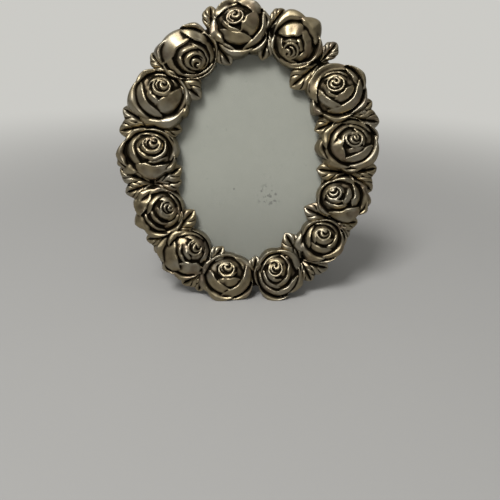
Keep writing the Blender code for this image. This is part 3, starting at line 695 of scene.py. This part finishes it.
def leaf_points(across, along, gap, turn, reach, tip_drop):
    """One leaf: root at along = 0, tip at along = 1, edges at across = -1 and 1."""
    before, after = ROSES[gap - 1][0], ROSES[gap % len(ROSES)][0]
    if after > before:
        after -= 360
    place = math.radians((before + after) / 2)
    wide, tall = ROSE_OVAL
    heading = math.atan2(wide * math.sin(place), tall * math.cos(place)) + math.radians(turn)
    side = np.abs(across)
    fade = 1 - along ** 8
    vein = (LEAF_VEINS * (along - VEIN_SLANT * side) + VEIN_START) % 1
    lobe = np.sqrt(1 - (2 * vein - 1) ** 2)
    width = LEAF_TIP + LEAF_WIDTH * reach * np.sin(np.pi * np.clip(along, 0, 1) ** 1.35) ** 0.75
    sideways = across * width * (1 + SAW_EDGE * (lobe - 0.7) * side ** 2)
    puffed = LOBE_PUFF * lobe * np.clip(3 * side, 0, 1) * (1 - 0.5 * side ** 4) * fade
    puffed *= np.clip(4 * along, 0, 1)
    rib = RIB_DEPTH * np.exp(-(across / RIB_WIDTH) ** 2) * fade
    swell = (0.35 * np.sin(np.pi * side ** 0.8) - 0.5 * side ** 6) * fade - 0.4 * along ** 8
    height = np.interp(along, *np.array(LEAF_HEIGHTS).T) - tip_drop * along ** 2 + swell + puffed - rib
    x = wide * math.cos(place) + reach * along * math.cos(heading) - sideways * math.sin(heading)
    z = tall * math.sin(place) + reach * along * math.sin(heading) + sideways * math.cos(heading)
    return np.stack([x, -height, z], -1)


blank, across, along = blank_grid(LEAF_COLUMNS, LEAF_ROWS)
leaves = []
for rows, tip_drop in ((OUTER_LEAVES, OUTER_TIP_DROP), (INNER_LEAVES, INNER_TIP_DROP)):
    for gap, turn, reach in rows:
        leaves.append(shaped_copy(blank, leaf_points(across, along, gap, turn, reach, tip_drop)))
bpy.data.objects.remove(blank)
leaves = joined(leaves, "leaf_sprays")
bpy.ops.object.mode_set(mode="EDIT")
bpy.ops.mesh.select_all(action="SELECT")
bpy.ops.mesh.flip_normals()
bpy.ops.object.mode_set(mode="OBJECT")
print("leaf faces look to", np.mean([face.normal for face in leaves.data.polygons], 0).round(2))

# %% [markdown]
# Solidify gives the leaves their thickness, and where two of them cross, the same Remesh as on the
# roses fuses them. Their hollows are shallower than those between petals, so they are measured over
# fewer rounds of smoothing and count for more.

# %% Leaves made solid
LEAF_WALL = 1.0 * MM
LEAF_VOXEL, LEAF_SMOOTH_ROUNDS = 0.2 * MM, 2
LEAF_HOLLOW_ROUNDS, LEAF_HOLLOW_GAIN, LEAF_EDGE_GAIN = 30, 2.2, 1.5
LEAF_TRIANGLES = 150000

wall = leaves.modifiers.new("wall", "SOLIDIFY")
wall.thickness = LEAF_WALL
wall.offset = -1
bpy.ops.object.modifier_apply(modifier="wall")
one_skin(leaves, LEAF_VOXEL, LEAF_SMOOTH_ROUNDS)
mark_hollows(leaves, "hollow", LEAF_HOLLOW_ROUNDS, LEAF_HOLLOW_GAIN)
mark_hollows(leaves, "edge", EDGE_ROUNDS, LEAF_EDGE_GAIN)
thin(leaves, LEAF_TRIANGLES)
bpy.ops.object.shade_smooth()
in_place(leaves)
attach(leaves, "frame")
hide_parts("rose_wreath_casting")
print("leaves:", len(leaves.data.polygons), "faces")

# %% [markdown]
# ## Antiqued pewter
# The maker blackens the whole casting and then polishes it, so the black stays in the grooves and
# the lips shine. The two attributes say where that is, and a node group turns them into a colour
# and a roughness. Its sockets come first.

# %% An empty group for the antique finish
def node_group(name, inputs, outputs):
    """An empty shader node group with named sockets."""
    group = bpy.data.node_groups.new(name, "ShaderNodeTree")
    for socket, kind in inputs:
        group.interface.new_socket(socket, in_out="INPUT", socket_type=kind)
    for socket, kind in outputs:
        group.interface.new_socket(socket, in_out="OUTPUT", socket_type=kind)
    return group, group.nodes.new("NodeGroupInput"), group.nodes.new("NodeGroupOutput")


antique, given, result = node_group(
    "antique_finish",
    (("Place", "NodeSocketVector"), ("Hollow", "NodeSocketFloat"), ("Edge", "NodeSocketFloat")),
    (("Color", "NodeSocketColor"), ("Roughness", "NodeSocketFloat"), ("Height", "NodeSocketFloat")))
print("group:", antique.name, "takes", [socket.name for socket in given.outputs if socket.name])

# %% [markdown]
# Inside the group the metal is mixed in layers, from the broad tone to the black in the grooves. A
# little noise breaks up the polish, because hand rubbing is never even.

# %% Layers of the antique finish
METAL_DARK, METAL_LIGHT = (0.235, 0.19, 0.11, 1), (0.33, 0.275, 0.175, 1)
METAL_GREY, METAL_BROWN = (0.29, 0.265, 0.21, 1), (0.185, 0.135, 0.092, 1)
METAL_RUBBED, METAL_SMOKED = (0.39, 0.345, 0.25, 1), (0.13, 0.10, 0.062, 1)
PATINA_DEEP, PATINA_DUSTY = (0.003, 0.0025, 0.0015, 1), (0.012, 0.009, 0.005, 1)
POLISHED, DULL = 0.36, 0.6


def add_mix(tree, share, one, other):
    """A colour Mix node; each end is a socket or a colour."""
    node = tree.nodes.new("ShaderNodeMix")
    node.data_type = "RGBA"
    tree.links.new(share, node.inputs["Factor"])
    for socket, end in ((node.inputs[6], one), (node.inputs[7], other)):
        if isinstance(end, tuple):
            socket.default_value = end
        else:
            tree.links.new(end, socket)
    return node.outputs[2]


def add_noise(tree, vector, scale, detail=4.0):
    """A noise texture fed by a coordinate."""
    node = tree.nodes.new("ShaderNodeTexNoise")
    node.inputs["Scale"].default_value = scale
    node.inputs["Detail"].default_value = detail
    tree.links.new(vector, node.inputs["Vector"])
    return node.outputs["Fac"]


place = given.outputs["Place"]
cloudy = add_noise(antique, place, 260)
fine = add_noise(antique, place, 1500)
uneven = add_math(antique, "MULTIPLY", add_math(antique, "SUBTRACT", cloudy, 0.5), 0.16)
depth = add_math(antique, "ADD", given.outputs["Hollow"], uneven)
smoked = add_range(antique, depth, -0.08, 0.07)
black = add_range(antique, depth, 0.0, 0.11)
bright = add_range(antique, given.outputs["Edge"], -0.03, -0.12)
greyer = add_range(antique, add_noise(antique, place, 85, 2.0), 0.45, 0.62, 0.0, 0.8)
browner = add_range(antique, add_noise(antique, place, 140, 3.0), 0.52, 0.68, 0.0, 0.75)
metal = add_mix(antique, cloudy, METAL_DARK, METAL_LIGHT)
metal = add_mix(antique, greyer, metal, METAL_GREY)
metal = add_mix(antique, browner, metal, METAL_BROWN)
metal = add_mix(antique, bright, metal, METAL_RUBBED)
metal = add_mix(antique, smoked, metal, METAL_SMOKED)
patina = add_mix(antique, fine, PATINA_DEEP, PATINA_DUSTY)
roughness = add_math(antique, "ADD", add_range(antique, black, 0.0, 1.0, POLISHED, DULL),
                     add_math(antique, "MULTIPLY", fine, 0.10))
antique.links.new(add_mix(antique, black, metal, patina), result.inputs["Color"])
antique.links.new(roughness, result.inputs["Roughness"])
antique.links.new(fine, result.inputs["Height"])
print("group:", antique.name, "with", len(antique.nodes), "nodes")

# %% [markdown]
# The roses and the leaves are one casting, so they share one material. It only reads the two
# attributes, hands them to the group, and adds a trace of bump for the cast grain.

# %% Pewter on the roses and leaves
def add_bump(tree, height, strength, distance, shader):
    """A Bump node from a height to a shader's Normal."""
    node = tree.nodes.new("ShaderNodeBump")
    node.inputs["Strength"].default_value = strength
    node.inputs["Distance"].default_value = distance
    tree.links.new(height, node.inputs["Height"])
    tree.links.new(node.outputs["Normal"], shader.inputs["Normal"])


pewter, tree, shader, place = new_material("antiqued_pewter")
finish = tree.nodes.new("ShaderNodeGroup")
finish.node_tree = antique
for socket, attribute in (("Hollow", "hollow"), ("Edge", "edge")):
    kept = tree.nodes.new("ShaderNodeAttribute")
    kept.attribute_name = attribute
    tree.links.new(kept.outputs["Fac"], finish.inputs[socket])
tree.links.new(place, finish.inputs["Place"])
tree.links.new(finish.outputs["Color"], shader.inputs["Base Color"])
tree.links.new(finish.outputs["Roughness"], shader.inputs["Roughness"])
shader.inputs["Metallic"].default_value = 1.0
add_bump(tree, finish.outputs["Height"], 0.25, 0.05 * MM, shader)
for piece in (wreath, leaves):
    piece.data.materials.clear()
    piece.data.materials.append(pewter)
print("material:", pewter.name)

# %% [markdown]
# ## Glass and card
# Picture glass is nearly invisible: it adds a faint haze and a few reflections. A see-through
# alpha keeps the card behind it evenly lit, where true refraction would darken it. The CAD pane has
# the right shape already, so it only gets this finish.

# %% Picture glass
GLASS_TINT, GLASS_IOR = (0.55, 0.56, 0.50, 1), 1.5


def carried_over(node, material):
    """Gives a CAD node a finish of its own."""
    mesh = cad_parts[node].data
    mesh.materials.clear()
    mesh.materials.append(material)


glass, tree, shader, place = new_material("picture_glass")
shader.inputs["Base Color"].default_value = GLASS_TINT
shader.inputs["IOR"].default_value = GLASS_IOR
smear = add_noise(tree, place, 45, 6)
tree.links.new(add_range(tree, smear, 0.35, 0.75, 0.04, 0.14), shader.inputs["Roughness"])
specks = add_noise(tree, place, 900, 2)
dust = add_range(tree, specks, 0.70, 0.76, 0.0, 0.25)
haze = add_range(tree, smear, 0.3, 0.8, 0.06, 0.13)
tree.links.new(add_math(tree, "ADD", haze, dust), shader.inputs["Alpha"])
carried_over("glass_pane", glass)
print("material:", glass.name)

# %% [markdown]
# The card is a plain pale grey with a trace of green. Towards its foot it is painted darker: painted
# shade for the light that falls off low on the pane. Fine fibres, a patch of scuffs and a few single
# specks low down keep it from looking painted.

# %% Pale card
CARD_FACE = 2.3
# Painted shade: the tones for the card's foot are darker than those for its top, standing in for the
# shade low on the pane.
CARD_LIT_TOP = (0.305, 0.31, 0.268, 1), (0.345, 0.35, 0.303, 1)
CARD_SHADED_FOOT = (0.185, 0.189, 0.163, 1), (0.211, 0.214, 0.185, 1)
CARD_FIBRE, CARD_SCUFF = (0.24, 0.245, 0.21, 1), (0.03, 0.03, 0.028, 1)
FOOT_LEVEL, TOP_LEVEL = 0.012, 0.056
SCUFF_PATCH = (8.3, -15.0, 6.5)
SPECKS = ((9.0, -15.2, 0.8), (9.2, -18.0, 0.9), (-6.3, -12.2, 0.6), (5.2, -13.0, 0.6))


def add_spot(tree, place, right, up, radius):
    """A soft round mask at a spot of the leaning plane, given in millimetres."""
    away = tree.nodes.new("ShaderNodeVectorMath")
    away.operation = "DISTANCE"
    away.inputs[1].default_value = PLANE @ (Vector((right, -CARD_FACE, up)) * MM)
    tree.links.new(place, away.inputs[0])
    return add_range(tree, away.outputs["Value"], radius * MM, 0.5 * radius * MM)


card, tree, shader, place = new_material("pale_card")
cloud = add_noise(tree, place, 30, 5)
fibre = add_noise(tree, place, 2200, 3)
level = tree.nodes.new("ShaderNodeSeparateXYZ")
tree.links.new(place, level.inputs["Vector"])
lit_card_top = add_mix(tree, cloud, *CARD_LIT_TOP)
darker = add_mix(tree, cloud, *CARD_SHADED_FOOT)
# Painted shade: the tone blends from the lighter top tones down to the darker foot tones.
tone = add_mix(tree, add_range(tree, level.outputs["Z"], FOOT_LEVEL, TOP_LEVEL), darker, lit_card_top)
fibrous = add_mix(tree, add_range(tree, fibre, 0.6, 0.8, 0.0, 0.25), tone, CARD_FIBRE)
scuffs = add_math(tree, "MULTIPLY", add_range(tree, add_noise(tree, place, 620, 2), 0.56, 0.62),
                  add_spot(tree, place, *SCUFF_PATCH))
for right, up, radius in SPECKS:
    scuffs = add_math(tree, "MAXIMUM", scuffs, add_spot(tree, place, right, up, radius))
scuffed = add_mix(tree, add_math(tree, "MULTIPLY", scuffs, 0.55), fibrous, CARD_SCUFF)
tree.links.new(scuffed, shader.inputs["Base Color"])
shader.inputs["Roughness"].default_value = 0.85
add_bump(tree, fibre, 0.15, 0.05 * MM, shader)
carried_over("photo_card", card)
print("material:", card.name)

# %% [markdown]
# ## The back
# The back is plain and practical: a board and a strut covered in black velvet paper, a riveted
# steel hinge, and four turn buttons of dulled brass on slotted steel screws. Their CAD shapes are
# right but knife-edged, so each is copied, merged and given a small bevel that catches the light.
# The slot in a screw's head is sawn by a Boolean with a thin block.

# %% How a plain piece is softened, and a screw slotted
MERGE_DISTANCE = 2e-6
FLAT_ANGLE, EDGE_ANGLE, SMOOTH_ANGLE = math.radians(1), math.radians(40), math.radians(35)
SLOT_WIDTH, SLOT_DEPTH, SAW_LENGTH = 0.75 * MM, 0.6 * MM, 1.4


def softened(node, body, bevel, material):
    """A copy of a CAD node with its edges eased."""
    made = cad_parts[node].copy()
    made.data = made.data.copy()
    made.name = made.data.name = node + "_eased"
    for key in [key for key in made.keys() if key.startswith("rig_")]:
        del made[key]
    bpy.context.collection.objects.link(made)
    made.parent = None
    bpy.ops.object.select_all(action="DESELECT")
    made.select_set(True)
    bpy.context.view_layer.objects.active = made
    bpy.ops.object.mode_set(mode="EDIT")
    bpy.ops.mesh.select_all(action="SELECT")
    bpy.ops.mesh.remove_doubles(threshold=MERGE_DISTANCE)
    bpy.ops.mesh.dissolve_limited(angle_limit=FLAT_ANGLE)
    bpy.ops.object.mode_set(mode="OBJECT")
    ease = made.modifiers.new("ease", "BEVEL")
    ease.width = bevel
    ease.segments = 2
    ease.limit_method = "ANGLE"
    ease.angle_limit = EDGE_ANGLE
    bpy.ops.object.modifier_apply(modifier="ease")
    bpy.ops.object.shade_smooth_by_angle(angle=SMOOTH_ANGLE)
    made.data.materials.clear()
    made.data.materials.append(material)
    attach(made, body)
    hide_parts(node)
    return made


def slotted(screw, turn):
    """Saws a slot for a screwdriver across a screw's head, turned by some degrees."""
    corners = np.array([PLANE.inverted() @ vertex.co for vertex in screw.data.vertices])
    low, high = corners.min(0), corners.max(0)
    bpy.ops.object.select_all(action="DESELECT")
    bpy.ops.mesh.primitive_cube_add(size=1)
    saw = bpy.context.object
    across = SAW_LENGTH * (high[0] - low[0])
    middle = Vector(((low[0] + high[0]) / 2, high[1], (low[2] + high[2]) / 2))
    turned = Matrix.Rotation(math.radians(turn), 4, "Y")
    saw.matrix_world = (PLANE @ Matrix.Translation(middle) @ turned
                        @ Matrix.Diagonal((across, 2 * SLOT_DEPTH, SLOT_WIDTH, 1)))
    cut = screw.modifiers.new("slot", "BOOLEAN")
    cut.operation = "DIFFERENCE"
    cut.object = saw
    bpy.context.view_layer.objects.active = screw
    bpy.ops.object.modifier_apply(modifier="slot")
    bpy.data.objects.remove(saw)


print("slots", round(SLOT_WIDTH / MM, 2), "mm wide and", round(SLOT_DEPTH / MM, 2), "mm deep")

# %% [markdown]
# Velvet paper is nearly black, with a fine nap that is brushed lighter here and there and a soft
# sheen at grazing angles. The brass has gone brown in clouds and is dullest where it is darkest.
# The plated steel is only scuffed.

# %% Velvet, brass and steel
VELVET_DARK = (0.008, 0.008, 0.010, 1), (0.022, 0.021, 0.025, 1)
VELVET_NAP = (0.05, 0.048, 0.055, 1)
BRASS_TONES = (0.36, 0.25, 0.10, 1), (0.60, 0.45, 0.20, 1)
STEEL_TONES = (0.42, 0.42, 0.41, 1), (0.62, 0.61, 0.59, 1)

velvet, tree, shader, place = new_material("velvet_paper")
nap = add_noise(tree, place, 2600, 2)
brushed = add_noise(tree, place, 40, 4)
dark = add_mix(tree, brushed, *VELVET_DARK)
napped = add_mix(tree, add_range(tree, nap, 0.45, 0.75, 0, 0.6), dark, VELVET_NAP)
tree.links.new(napped, shader.inputs["Base Color"])
shader.inputs["Roughness"].default_value = 0.95
shader.inputs["Sheen Weight"].default_value = 0.35
shader.inputs["Sheen Roughness"].default_value = 0.4
add_bump(tree, nap, 0.5, 0.12 * MM, shader)

brass, tree, shader, place = new_material("dulled_brass")
stain = add_noise(tree, place, 320, 5)
tree.links.new(add_mix(tree, stain, *BRASS_TONES), shader.inputs["Base Color"])
tree.links.new(add_range(tree, stain, 0.3, 0.7, 0.5, 0.3), shader.inputs["Roughness"])
shader.inputs["Metallic"].default_value = 1.0
add_bump(tree, add_noise(tree, place, 1800, 3), 0.2, 0.05 * MM, shader)

steel, tree, shader, place = new_material("plated_steel")
scuff = add_noise(tree, place, 500, 6)
tree.links.new(add_mix(tree, scuff, *STEEL_TONES), shader.inputs["Base Color"])
tree.links.new(add_range(tree, scuff, 0.3, 0.75, 0.28, 0.5), shader.inputs["Roughness"])
shader.inputs["Metallic"].default_value = 1.0
add_bump(tree, scuff, 0.15, 0.05 * MM, shader)
print("materials:", velvet.name, brass.name, steel.name)

# %% [markdown]
# Each copy rides on the body that its CAD piece belongs to: the strut and its half of the hinge
# swing, the turn buttons pivot, and the rest stays with the frame. No two screws are left with
# their slots at the same angle.

# %% The pieces of the back
SLOT_TURN = 40

softened("backing_board", "frame", 0.25 * MM, velvet)
softened("easel_strut", "strut", 0.35 * MM, velvet)
softened("board_hinge_leaf", "frame", 0.12 * MM, steel)
softened("strut_hinge_leaf", "strut", 0.12 * MM, steel)
softened("hinge_pin", "frame", 0.1 * MM, steel)
for side in ("left", "right"):
    softened("board_rivet_" + side, "frame", 0.1 * MM, steel)
    softened("strut_rivet_" + side, "strut", 0.1 * MM, steel)
for number in range(1, 5):
    softened(f"turn_button_{number}", f"turn_button_{number}", 0.2 * MM, brass)
    slotted(softened(f"turn_button_screw_{number}", "frame", 0.1 * MM, steel),
            SLOT_TURN * number)
